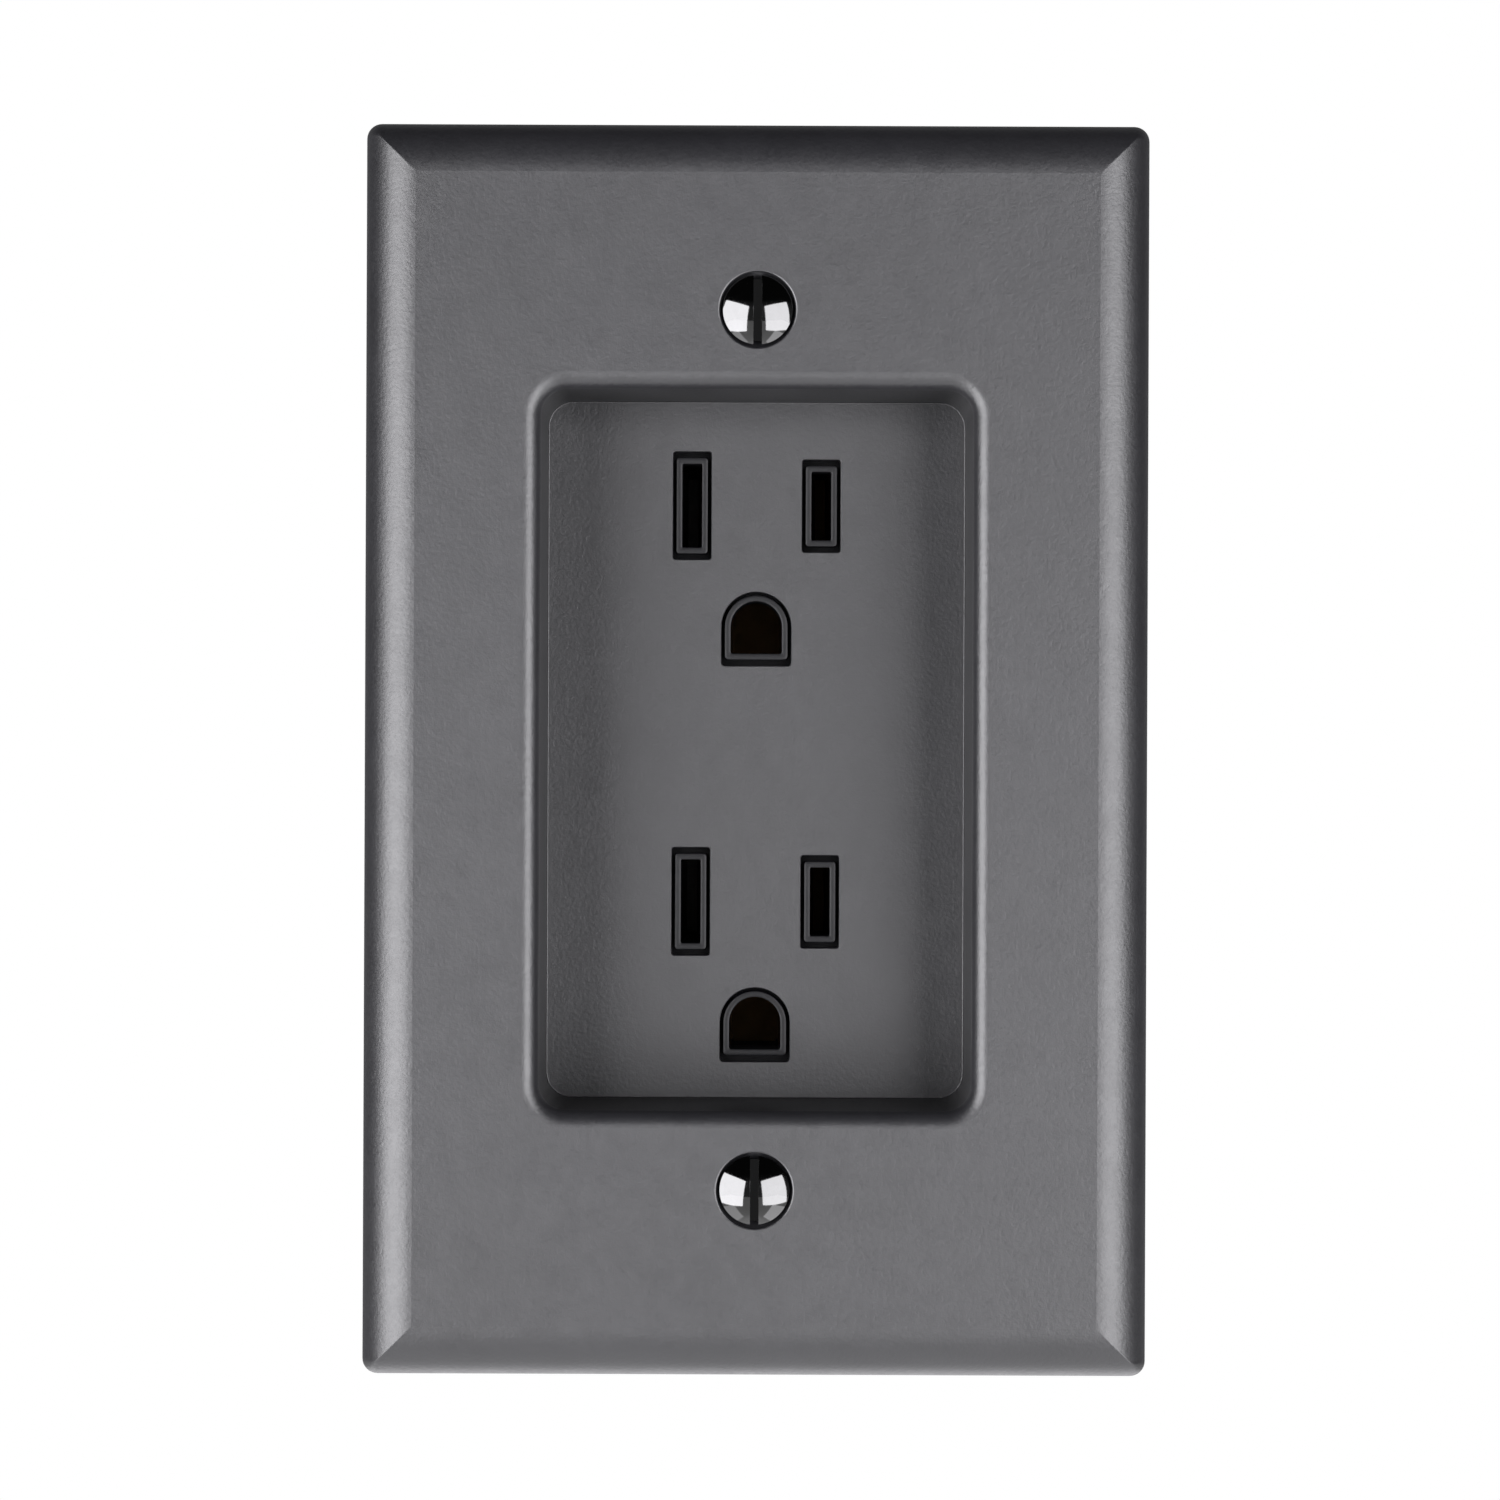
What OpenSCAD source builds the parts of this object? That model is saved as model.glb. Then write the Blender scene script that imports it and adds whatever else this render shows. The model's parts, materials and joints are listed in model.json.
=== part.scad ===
/* [Plate] */
// width of the cover plate across its outside edges, mm
plate_width = 74.6; // [70:0.1:80]
// height of the cover plate across its outside edges, mm
plate_height = 119.1; // [114:0.1:124]
// how far the plate's flat front stands out from the wall, mm
plate_depth = 5.6; // [4.5:0.1:7]
// radius of the plate's four outside corners, mm
plate_corner = 1.5; // [0.8:0.1:3]
// width of the crowned bevel around the flat front, mm
bevel_width = 4.9; // [3:0.1:6]
// radius of the crowned bevel, mm
bevel_radius = 5.6; // [5.3:0.1:7]
// thickness of the plate's skin, mm
skin = 2.2; // [1.6:0.1:3]
// thickness of the rim that rests on the wall, mm
rim = 2.4; // [1.6:0.1:3]

/* [Recess] */
// width of the recess opening, mm
recess_width = 41.0; // [38:0.1:44]
// height of the recess opening, mm
recess_height = 68.4; // [64:0.1:70]
// depth of the recess from the plate's flat front, mm
recess_depth = 17.0; // [10:0.1:20]
// corner radius of the recess, mm
recess_corner = 2.5; // [1.5:0.1:4]
// size of the rounding at the recess mouth, mm
lip = 1.6; // [0.8:0.1:2.2]
// thickness of the recess walls, mm
cup_wall = 2.0; // [1.5:0.1:2.5]
// thickness of the recess floor, mm
floor_thick = 2.2; // [1.5:0.1:3]

/* [Outlets] */
// distance between the upper and lower outlets, mm
outlet_pitch = 38.9; // [38:0.1:40]
// height of the upper outlet's blade slots above the middle, mm
blade_height = 24.0; // [22:0.1:26]
// distance from the middle line to each blade slot, mm
blade_offset = 6.35; // [6:0.01:6.6]
// distance from the blade slots down to the ground hole, mm
ground_drop = 11.89; // [11.6:0.01:12.1]
// width of a blade slot, mm
slot_width = 1.9; // [1.8:0.1:2.3]
// height of the neutral slot, mm
neutral_height = 8.2; // [8:0.1:9]
// height of the hot slot, mm
hot_height = 6.7; // [6.5:0.1:7.5]
// radius of the round top of the ground hole, mm
ground_radius = 2.5; // [2.4:0.05:2.8]
// distance from the ground hole's centre to its flat bottom, mm
ground_flat = 2.62; // [2.4:0.05:2.9]

/* [Body] */
// half the width of the rear housing, mm
housing_half = 17.0; // [16:0.1:19]
// thickness of the outlet face slab, mm
face_slab = 4.0; // [3:0.1:5]
// length of the rear housing, front to back, mm
housing_length = 22.0; // [20:0.1:26]
// thickness of the metal of the mounting strap, mm
strap_thick = 1.2; // [1:0.1:1.6]
// half the width of the mounting strap, mm
strap_half = 9.5; // [8:0.1:12]
// distance from the middle to each terminal screw, along the height, mm
terminal_height = 9.6; // [8:0.1:11]
// depth of the terminal screws behind the wall plane, mm
terminal_depth = 27.5; // [26:0.1:30]

/* [Fasteners] */
// distance between the two mounting screws, mm
screw_spacing = 83.34; // [83:0.01:84]
// radius of the mounting screws' thread, mm
mounting_radius = 1.75; // [1.6:0.01:1.9]
// radius of the mounting screws' oval head, mm
oval_radius = 3.3; // [3:0.05:3.6]
// height of the domed top of the oval head, mm
oval_dome = 1.1; // [0.8:0.05:1.3]
// radius that the countersink would have at the plate's flat front, mm
sink_radius = 3.6; // [3.4:0.05:3.9]
// radius of the terminal screws' thread, mm
terminal_radius = 2.05; // [1.9:0.01:2.2]
// radius of the counterbore around a mounting screw's head, mm
bore_radius = 3.6; // [3.45:0.05:3.8]
// depth of that counterbore, mm
bore_depth = 0.9; // [0.5:0.1:1.2]
// gap around a screw that turns in its hole, mm
running_gap = 0.08; // [0.02:0.01:0.1]
// radius of the housing screws' shank, mm
case_screw_radius = 1.4; // [1.2:0.05:1.6]

/* [Hidden] */
$fn = 48;
front = -plate_depth;
inner = front + skin;
half_w = plate_width / 2;
half_h = plate_height / 2;
crown_centre = bevel_width + 0.3;
crown_y = front + sqrt(bevel_radius * bevel_radius - 0.09);
floor_y = front + recess_depth;
floor_back = floor_y + floor_thick;
cup_half_w = recess_width / 2 + cup_wall;
cup_half_h = recess_height / 2 + cup_wall;
slab_back = floor_back + face_slab;
housing_back = slab_back + housing_length;
strap_back = housing_back + strap_thick;
upper = blade_height;
lower = blade_height - outlet_pitch;
screw_z = screw_spacing / 2;
case_x = 13.2;
case_z = 32.8;
tapped = terminal_radius + running_gap;
plate_in = 13.2;
plate_out = 14.2;
well_in = 4.1;
well_out = 8.6;
strap_leg = cup_half_h + 0.3;
ear_end = 48;
ear_corner = 2.5;
spine_y = housing_back - 3.4;
rivet_z = -7.3;
ground_tap_y = 31.5;
ground_tap_z = -24.0;
tab_in = housing_half + 0.2;
tab_out = tab_in + strap_thick;
neck_front = 3.7;
neck_back = 4.9;
neck_radius = 1.5;

// a flat outline in X and Z, drawn from y0 back to y1
module along_y(y0, y1) {
  translate([0, y1, 0])
    rotate([90, 0, 0])
      linear_extrude(height = y1 - y0)
        children();
}

// a flat outline in Y and Z, drawn from x0 to x1
module along_x(x0, x1) {
  translate([x0, 0, 0])
    rotate([90, 0, 90])
      linear_extrude(height = x1 - x0)
        children();
}

// a flat outline in X and Y, drawn from z0 up to z1
module along_z(z0, z1) {
  translate([0, 0, z0])
    linear_extrude(height = z1 - z0)
      children();
}

// a rectangle with round corners
module rounded(w, h, r) {
  union() {
    square([w - 2 * r, h], center = true);
    square([w, h - 2 * r], center = true);
    for (x = [-1, 1])
      for (z = [-1, 1])
        translate([x * (w / 2 - r), z * (h / 2 - r)])
          circle(r = r);
  }
}

// a rectangular block between two corners
module block(x0, x1, y0, y1, z0, z1) {
  translate([x0, y0, z0])
    cube([x1 - x0, y1 - y0, z1 - z0]);
}

// a round bar along Y
module rod_y(x, z, y0, y1, r0, r1) {
  translate([x, y1, z])
    rotate([90, 0, 0])
      cylinder(h = y1 - y0, r1 = r1, r2 = r0);
}

// a round bar along X
module rod_x(y, z, x0, x1, r0, r1) {
  translate([x0, y, z])
    rotate([0, 90, 0])
      cylinder(h = x1 - x0, r1 = r0, r2 = r1);
}

// both sides of the middle, left and right
module both_sides() {
  children();
  mirror([1, 0, 0])
    children();
}

// the plate's section: flat front with a crowned bevel at each end
module crown_section(half) {
  intersection() {
    translate([-half, front])
      square([2 * half, plate_depth]);
    union() {
      translate([-(half - bevel_width - 0.1), front])
        square([2 * (half - bevel_width - 0.1), plate_depth]);
      for (s = [-1, 1])
        translate([s * (half - crown_centre), crown_y])
          circle(r = bevel_radius, $fn = 96);
    }
  }
}

// the plate's outside shape, with mitred corners on the bevel
module plate_outside() {
  intersection() {
    along_z(-half_h - 1, half_h + 1)
      crown_section(half_w);
    rotate([0, 90, 0])
      along_z(-half_w - 1, half_w + 1)
        crown_section(half_h);
    along_y(front - 1, 1)
      rounded(plate_width, plate_height, plate_corner);
  }
}

// the section cut away to round the recess mouth
module lip_section() {
  difference() {
    translate([-0.5, -0.5])
      square([lip + 0.5, lip + 0.5]);
    translate([lip, lip])
      circle(r = lip + 0.03);
  }
}

// the rounding all the way around the recess mouth
module lip_cut() {
  mid_w = recess_width / 2 - recess_corner;
  mid_h = recess_height / 2 - recess_corner;
  both_sides()
    along_z(-mid_h, mid_h)
      translate([recess_width / 2, front])
        lip_section();
  for (m = [0, 1])
    mirror([0, 0, m])
      along_x(-mid_w, mid_w)
        translate([front, recess_height / 2])
          lip_section();
  for (m = [0, 1])
    mirror([0, 0, m])
      both_sides()
        translate([mid_w, front, mid_h])
          rotate([90, 0, 0])
            mirror([0, 0, 1])
              rotate_extrude(angle = 90)
                translate([recess_corner, 0])
                  lip_section();
}

// a ground opening: round on top, flat at the bottom
module ground_shape(r, flat) {
  union() {
    circle(r = r);
    translate([-r, -flat])
      square([2 * r, flat]);
  }
}

// the three openings of one outlet, made larger all round by the gaps
module outlet_shape(z, side, ends, under) {
  translate([-blade_offset, z])
    square([slot_width + 2 * side, neutral_height + 2 * ends], center = true);
  translate([blade_offset, z])
    square([slot_width + 2 * side, hot_height + 2 * ends], center = true);
  translate([0, z - ground_drop])
    ground_shape(ground_radius + side, ground_flat + under);
}

// cover plate and recess, moulded in one piece
module face_plate() {
  color([0.15, 0.15, 0.16])
    difference() {
      union() {
        difference() {
          plate_outside();
          block(-half_w + rim, half_w - rim, inner, 1, -half_h + rim, half_h - rim);
        }
        along_y(inner - 0.8, floor_back)
          rounded(2 * cup_half_w, 2 * cup_half_h, recess_corner + cup_wall);
        for (z = [-case_z, case_z])
          both_sides()
            rod_y(case_x, z, floor_back - 0.5, floor_back + 5.8, 3.2, 3.2);
      }
      along_y(front - 1, floor_y)
        rounded(recess_width, recess_height, recess_corner);
      lip_cut();
      along_y(floor_y - 1, floor_back + 1)
        outlet_shape(upper, 0.93, 1.15, 1.23);
      along_y(floor_y - 1, floor_back + 1)
        outlet_shape(lower, 0.93, 1.15, 1.23);
      for (z = [-case_z, case_z])
        both_sides()
          rod_y(case_x, z, floor_y + 1.2, floor_back + 7, 1.42, 1.42);
      for (z = [-screw_z, screw_z]) {
        rod_y(0, z, front - 1, inner + 1, 2.0, 2.0);
        rod_y(0, z, front, front + (sink_radius - 1.9) / tan(41), sink_radius, 1.9);
        rod_y(0, z, front - 1, front + bore_depth, bore_radius, bore_radius);
      }
    }
}

// insulating face behind the recess floor, with a collar around every opening
module outlet_face() {
  color([0.13, 0.13, 0.14])
    difference() {
      union() {
        difference() {
          block(-16.5, 16.5, floor_back, slab_back, -cup_half_h, cup_half_h);
          for (m = [0, 1])
            mirror([0, 0, m])
              both_sides()
                block(9.5, 17, floor_back - 1, slab_back + 1, 28.8, 37);
        }
        along_y(floor_y + 0.1, floor_back + 1)
          outlet_shape(upper, 0.6, 0.6, 0.62);
        along_y(floor_y + 0.1, floor_back + 1)
          outlet_shape(lower, 0.6, 0.6, 0.62);
      }
      along_y(floor_y - 1, slab_back + 1)
        outlet_shape(upper, 0, 0, 0);
      along_y(floor_y - 1, slab_back + 1)
        outlet_shape(lower, 0, 0, 0);
    }
}

// pockets of one live side of the rear housing, drawn on the right
module side_pockets(tip_z) {
  for (z = [upper, lower]) {
    block(well_in, well_out, slab_back - 1, 34.5, z - 5.2, z + 5.2);
    block(well_out - 1, plate_out, slab_back - 1, 31.0, z - 2.2, z + 2.2);
  }
  block(plate_in - 0.1, plate_out + 0.1, slab_back - 1, 36, lower - 2.6, upper + 2.3);
  block(plate_in - 0.1, housing_half + 1, 20.5, housing_back + 1, -17.5, 17.5);
  for (z = [-terminal_height, terminal_height])
    rod_x(terminal_depth, z, tip_z, plate_in, 2.6, 2.6);
}

// insulating rear body that holds the contacts
module rear_housing() {
  color([0.08, 0.08, 0.09])
    difference() {
      along_y(slab_back, housing_back)
        rounded(2 * housing_half, 2 * cup_half_h, 1.6);
      both_sides()
        side_pockets(10.2);
      block(-2.4, 2.4, slab_back - 1, spine_y + 0.8, -31, 16);
      for (z = [upper, lower])
        block(-4.2, 4.2, slab_back - 1, spine_y + 0.8, z - ground_drop - 4.5, z - ground_drop + 4.5);
      rod_y(0, rivet_z, spine_y, housing_back + 1, 1.63, 1.63);
      rod_x(ground_tap_y, ground_tap_z, -housing_half - 1, -13.7, 2.6, 2.6);
      for (z = [-case_z, case_z])
        both_sides() {
          rod_y(case_x, z, slab_back - 1, slab_back + 2.0, 3.4, 3.4);
          rod_y(case_x, z, slab_back, housing_back, 1.6, 1.6);
          rod_y(case_x, z, housing_back - 2.2, housing_back + 1, 3.0, 3.0);
        }
    }
}

// one spring contact that grips a blade from both sides
module blade_contact(z) {
  along_z(z - 3.8, z + 3.8)
    translate([blade_offset, 0])
      polygon([
        [2.0, 32.8], [2.0, 25.5], [1.15, 21.0], [1.75, 18.4],
        [1.15, 18.4], [0.5, 21.0], [1.35, 25.5], [1.35, 32.1],
        [-1.35, 32.1], [-1.35, 25.5], [-0.5, 21.0], [-1.15, 18.4],
        [-1.75, 18.4], [-1.15, 21.0], [-2.0, 25.5], [-2.0, 32.8]
      ]);
}

// contact strip of one live side, drawn on the right
module live_bus() {
  difference() {
    union() {
      for (z = [upper, lower]) {
        blade_contact(z);
        block(blade_offset + 1.6, plate_in + 0.5, 29.6, 30.6, z - 1.8, z + 1.8);
      }
      block(plate_in, plate_out, 22.5, 33.5, lower - 2.0, -1.3);
      block(plate_in, plate_out, 22.5, 33.5, 1.3, upper + 1.9);
      block(plate_in, plate_out, 26.5, 29.5, -2, 2);
    }
    for (z = [-terminal_height, terminal_height])
      rod_x(terminal_depth, z, plate_in - 1, plate_out + 1, tapped, tapped);
  }
}

// contact strip of the hot side
module hot_bus() {
  color([0.72, 0.53, 0.22])
    live_bus();
}

// contact strip of the neutral side
module neutral_bus() {
  color([0.7, 0.68, 0.6])
    mirror([1, 0, 0])
      live_bus();
}

// ground contacts joined by one spine
module ground_bus() {
  color([0.72, 0.53, 0.22])
    difference() {
      union() {
        block(-2.2, 2.2, spine_y, spine_y + 0.8, lower - ground_drop - 3.4, upper - ground_drop + 3.4);
        for (z = [upper, lower])
          along_z(z - ground_drop - 3.2, z - ground_drop + 3.2)
            polygon([
              [3.6, spine_y + 0.8], [3.6, 27.0], [3.0, 23.0], [3.7, 20.0],
              [3.1, 20.0], [2.35, 23.0], [2.95, 27.0], [2.95, spine_y],
              [-2.95, spine_y], [-2.95, 27.0], [-2.35, 23.0], [-3.1, 20.0],
              [-3.7, 20.0], [-3.0, 23.0], [-3.6, 27.0], [-3.6, spine_y + 0.8]
            ]);
      }
      rod_y(0, rivet_z, spine_y - 1, spine_y + 2, 1.63, 1.63);
    }
}

// steel strap that carries the device on the wall box
module mounting_strap() {
  color([0.6, 0.61, 0.62])
    difference() {
      union() {
        for (m = [0, 1])
          mirror([0, 0, m]) {
            along_y(inner, inner + strap_thick)
              translate([0, (strap_leg + ear_end) / 2])
                rounded(2 * strap_half, ear_end - strap_leg, ear_corner);
            block(-strap_half, strap_half, inner, inner + strap_thick, strap_leg, strap_leg + ear_corner + 0.1);
            block(-strap_half, strap_half, inner, strap_back, strap_leg, strap_leg + strap_thick);
          }
        block(-strap_half, strap_half, housing_back, strap_back, -strap_leg - 1, strap_leg + 1);
        block(-tab_out, -strap_half + 1, housing_back, strap_back, -29, -19);
        block(-tab_out, -tab_in, 26, strap_back, -29, -19);
      }
      for (z = [-screw_z, screw_z])
        rod_y(0, z, inner - 1, inner + 3, 2.1, 2.1);
      rod_y(0, rivet_z, housing_back - 1, strap_back + 1, 1.63, 1.63);
      rod_x(ground_tap_y, ground_tap_z, -tab_out - 1, -tab_in + 1, tapped, tapped);
    }
}

// rivet that joins the ground strip, the housing and the strap
module ground_rivet() {
  color([0.72, 0.6, 0.3])
    union() {
      rod_y(0, rivet_z, spine_y - 1.0, spine_y, 1.5, 2.1);
      rod_y(0, rivet_z, spine_y - 0.1, strap_back + 0.1, 1.6, 1.6);
      rod_y(0, rivet_z, strap_back, strap_back + 1.0, 2.8, 2.0);
    }
}

// four screws that clamp the housing to the plate
module housing_screws() {
  color([0.55, 0.56, 0.58])
    for (z = [-case_z, case_z])
      both_sides()
        difference() {
          union() {
            rod_y(case_x, z, 15.0, 37.5, 1.1, case_screw_radius);
            rod_y(case_x, z, 37.4, 39.0, 2.7, 2.4);
          }
          block(case_x - 0.35, case_x + 0.35, 38.2, 40, z - 1.6, z + 1.6);
          block(case_x - 1.6, case_x + 1.6, 38.2, 40, z - 0.35, z + 0.35);
        }
}

// wire clamp plate under a terminal screw, drawn on the right
module wire_clamp(z) {
  difference() {
    block(14.4, 15.5, terminal_depth - 4.5, terminal_depth + 4.5, z - 4.7, z + 4.7);
    rod_x(terminal_depth, z, 14, 16, tapped, tapped);
    block(14, 14.75, terminal_depth - 5, terminal_depth + 5, z - 4.0, z - 2.7);
    block(14, 14.75, terminal_depth - 5, terminal_depth + 5, z + 2.7, z + 4.0);
  }
}

// slotted terminal screw, drawn on the right
module terminal_screw(z) {
  difference() {
    union() {
      rod_x(terminal_depth, z, 10.5, 11.0, 1.5, terminal_radius);
      rod_x(terminal_depth, z, 11.0, 15.8, terminal_radius, terminal_radius);
      rod_x(terminal_depth, z, 15.7, 17.2, 4.05, 4.05);
      rod_x(terminal_depth, z, 17.2, 17.9, 4.05, 3.3);
    }
    block(16.8, 19, terminal_depth - 5, terminal_depth + 5, z - 0.6, z + 0.6);
  }
}

module hot_clamp_upper() {
  color([0.72, 0.53, 0.22])
    wire_clamp(terminal_height);
}

module hot_clamp_lower() {
  color([0.72, 0.53, 0.22])
    wire_clamp(-terminal_height);
}

module neutral_clamp_upper() {
  color([0.7, 0.7, 0.68])
    mirror([1, 0, 0])
      wire_clamp(terminal_height);
}

module neutral_clamp_lower() {
  color([0.7, 0.7, 0.68])
    mirror([1, 0, 0])
      wire_clamp(-terminal_height);
}

// wire clamp plate under the ground screw
module ground_clamp() {
  color([0.6, 0.61, 0.62])
    difference() {
      block(-tab_out - 1.2, -tab_out - 0.2, 27.0, 36.0, -28.5, -19.5);
      rod_x(ground_tap_y, ground_tap_z, -tab_out - 2, -tab_out + 1, tapped, tapped);
    }
}

module hot_screw_upper() {
  color([0.78, 0.6, 0.25])
    terminal_screw(terminal_height);
}

module hot_screw_lower() {
  color([0.78, 0.6, 0.25])
    terminal_screw(-terminal_height);
}

module neutral_screw_upper() {
  color([0.75, 0.75, 0.74])
    mirror([1, 0, 0])
      terminal_screw(terminal_height);
}

module neutral_screw_lower() {
  color([0.75, 0.75, 0.74])
    mirror([1, 0, 0])
      terminal_screw(-terminal_height);
}

// hexagon head screw of the ground terminal
module ground_screw() {
  color([0.1, 0.4, 0.2])
    difference() {
      union() {
        rod_x(ground_tap_y, ground_tap_z, -14.5, -14.0, terminal_radius, 1.5);
        rod_x(ground_tap_y, ground_tap_z, -tab_out - 1.5, -14.5, terminal_radius, terminal_radius);
        translate([-tab_out - 3.6, ground_tap_y, ground_tap_z])
          rotate([0, 90, 0])
            cylinder(h = 2.2, r = 8.0 / sqrt(3), $fn = 6);
      }
      block(-tab_out - 5, -tab_out - 2.5, ground_tap_y - 5, ground_tap_y + 5,
        ground_tap_z - 0.6, ground_tap_z + 0.6);
    }
}

// fibre washer that keeps a mounting screw on the strap
module screw_retainer(z) {
  color([0.45, 0.3, 0.2])
    difference() {
      block(-4.2, 4.2, 3.9, 4.7, z - 3.7, z + 3.7);
      rod_y(0, z, 3, 6, neck_radius + 0.06, neck_radius + 0.06);
    }
}

module screw_retainer_top() {
  screw_retainer(screw_z);
}

module screw_retainer_bottom() {
  screw_retainer(-screw_z);
}

// slotted oval head screw with a neck for its retaining washer
module mounting_screw(z) {
  seat_y = front + (sink_radius - 0.03 - oval_radius) / tan(41);
  cone = (oval_radius - mounting_radius) / tan(41);
  rise = oval_dome - 0.1;
  dome_radius = (oval_radius * oval_radius + rise * rise) / (2 * rise);
  color([0.8, 0.8, 0.82])
    difference() {
      translate([0, seat_y, z])
        rotate([90, 0, 0])
          rotate_extrude()
            difference() {
              polygon([
                [0, oval_dome],
                [oval_radius, oval_dome],
                [oval_radius, 0],
                [mounting_radius, -cone],
                [mounting_radius, seat_y - neck_front],
                [neck_radius, seat_y - neck_front],
                [neck_radius, seat_y - neck_back],
                [mounting_radius, seat_y - neck_back],
                [mounting_radius, seat_y - 19.3],
                [1.2, seat_y - 19.8],
                [0, seat_y - 19.8]
              ]);
              difference() {
                translate([0, 0.1])
                  square([oval_radius + 1, oval_dome]);
                translate([0, oval_dome - dome_radius])
                  circle(r = dome_radius, $fn = 96);
              }
            }
      block(-0.5, 0.5, seat_y - 3, seat_y - oval_dome + 1.5, z - 5, z + 5);
    }
}

module mounting_screw_top() {
  mounting_screw(screw_z);
}

module mounting_screw_bottom() {
  mounting_screw(-screw_z);
}

face_plate();
outlet_face();
rear_housing();
hot_bus();
neutral_bus();
ground_bus();
mounting_strap();
ground_rivet();
housing_screws();
hot_clamp_upper();
hot_clamp_lower();
neutral_clamp_upper();
neutral_clamp_lower();
ground_clamp();
hot_screw_upper();
hot_screw_lower();
neutral_screw_upper();
neutral_screw_lower();
ground_screw();
screw_retainer_top();
screw_retainer_bottom();
mounting_screw_top();
mounting_screw_bottom();
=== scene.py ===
"""Recessed duplex receptacle with its wall plate: the visual model, its lights and its camera."""

import json
import logging
import math
from collections.abc import Callable, Sequence
from dataclasses import dataclass, field, replace
from enum import Enum

import bmesh
import bpy
from mathutils import Matrix, Quaternion, Vector

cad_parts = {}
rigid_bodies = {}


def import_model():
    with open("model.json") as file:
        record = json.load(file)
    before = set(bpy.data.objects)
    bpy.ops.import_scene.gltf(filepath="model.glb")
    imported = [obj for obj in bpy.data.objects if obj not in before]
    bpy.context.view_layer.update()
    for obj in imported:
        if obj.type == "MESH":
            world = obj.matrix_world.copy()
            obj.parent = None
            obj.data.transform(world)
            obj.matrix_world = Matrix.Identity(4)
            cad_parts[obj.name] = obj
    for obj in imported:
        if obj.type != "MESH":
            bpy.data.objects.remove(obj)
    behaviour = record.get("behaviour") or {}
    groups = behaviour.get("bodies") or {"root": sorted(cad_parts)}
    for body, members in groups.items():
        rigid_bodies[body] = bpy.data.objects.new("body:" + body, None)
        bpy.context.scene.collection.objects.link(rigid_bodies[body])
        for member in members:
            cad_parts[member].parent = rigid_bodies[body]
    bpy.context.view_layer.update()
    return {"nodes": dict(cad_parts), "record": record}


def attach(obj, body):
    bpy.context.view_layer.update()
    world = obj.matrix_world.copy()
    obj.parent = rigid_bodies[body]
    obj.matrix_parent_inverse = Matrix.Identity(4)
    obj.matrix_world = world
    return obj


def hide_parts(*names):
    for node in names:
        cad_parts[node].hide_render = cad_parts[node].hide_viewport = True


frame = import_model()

LOG = logging.getLogger("receptacle")
MM = 0.001
PITCH = 25.4 / 32
SCREW_Z = 41.67
TERMINAL_Z = 9.6
SINK_SLOPE = math.tan(math.radians(41))  # half the angle of an 82 degree countersink
POINT = tuple[float, float, float]
RGB = tuple[float, float, float]
VERTS = list[bmesh.types.BMVert]
PIECE = bpy.types.Object
SOCKET = bpy.types.NodeSocket


# --- meshes


def linked(name: str, data: bpy.types.ID) -> PIECE:
    """Makes an object and links it to the scene.

    Args:
        name: the new object's name.
        data: its mesh, light or camera.

    Returns:
        The new object.
    """
    made = bpy.data.objects.new(name, data)
    bpy.context.scene.collection.objects.link(made)
    return made


def meshed(name: str, bm: bmesh.types.BMesh) -> PIECE:
    """Turns a mesh under work into an object, linked to the scene.

    Args:
        name: the new object's name.
        bm: the mesh; it is freed.

    Returns:
        The new object.
    """
    mesh = bpy.data.meshes.new(name)
    bm.to_mesh(mesh)
    bm.free()
    return linked(name, mesh)


class Shell:
    """A closed mesh put together from loops of points, worked in millimetres."""

    def __init__(self) -> None:
        """Starts with an empty mesh."""
        self.bm = bmesh.new()

    def loop(self, points: Sequence[POINT]) -> VERTS:
        """Adds a closed loop.

        Args:
            points: the loop's points, in order.

        Returns:
            The loop's vertices, in the same order.
        """
        verts = [self.bm.verts.new(p) for p in points]
        for a, b in zip(verts, verts[1:] + verts[:1]):
            self.bm.edges.new((a, b))
        return verts

    def stack(self, loops: Sequence[Sequence[POINT]]) -> tuple[VERTS, VERTS]:
        """Walls a run of loops that have the same number of points, one after the other.

        Args:
            loops: the loops' points, from one end of the run to the other.

        Returns:
            The first and the last loop's vertices.
        """
        rows = [self.loop(points) for points in loops]
        for a, b in zip(rows, rows[1:]):
            for i in range(len(a)):
                j = (i + 1) % len(a)
                self.bm.faces.new((a[i], a[j], b[j], b[i]))
        return rows[0], rows[-1]

    def fill(self, loops: Sequence[VERTS], normal: POINT) -> None:
        """Fills a flat face bounded by an outer loop and any holes, and keeps its edges crisp.

        Args:
            loops: the outer loop and the holes.
            normal: the direction the face looks in.
        """
        edges = []
        for verts in loops:
            for a, b in zip(verts, verts[1:] + verts[:1]):
                edge = self.bm.edges.get((a, b))
                edge.smooth = False
                edges.append(edge)
        bmesh.ops.triangle_fill(self.bm, use_beauty=True, edges=edges, normal=Vector(normal))

    def finish(self, name: str, crisp: float = 32.0) -> PIECE:
        """Turns the shell into an object in metres, at the origin.

        Args:
            name: the new object's name.
            crisp: faces that meet at more than this many degrees get a crisp edge.

        Returns:
            The new object, linked to the scene.
        """
        bm = self.bm
        bmesh.ops.remove_doubles(bm, verts=bm.verts, dist=1e-4)
        bmesh.ops.recalc_face_normals(bm, faces=bm.faces)
        for edge in bm.edges:
            if edge.calc_face_angle(0.0) > math.radians(crisp):
                edge.smooth = False
        bmesh.ops.scale(bm, verts=bm.verts, vec=(MM, MM, MM))
        for face in bm.faces:
            face.smooth = True
        return meshed(name, bm)


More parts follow.
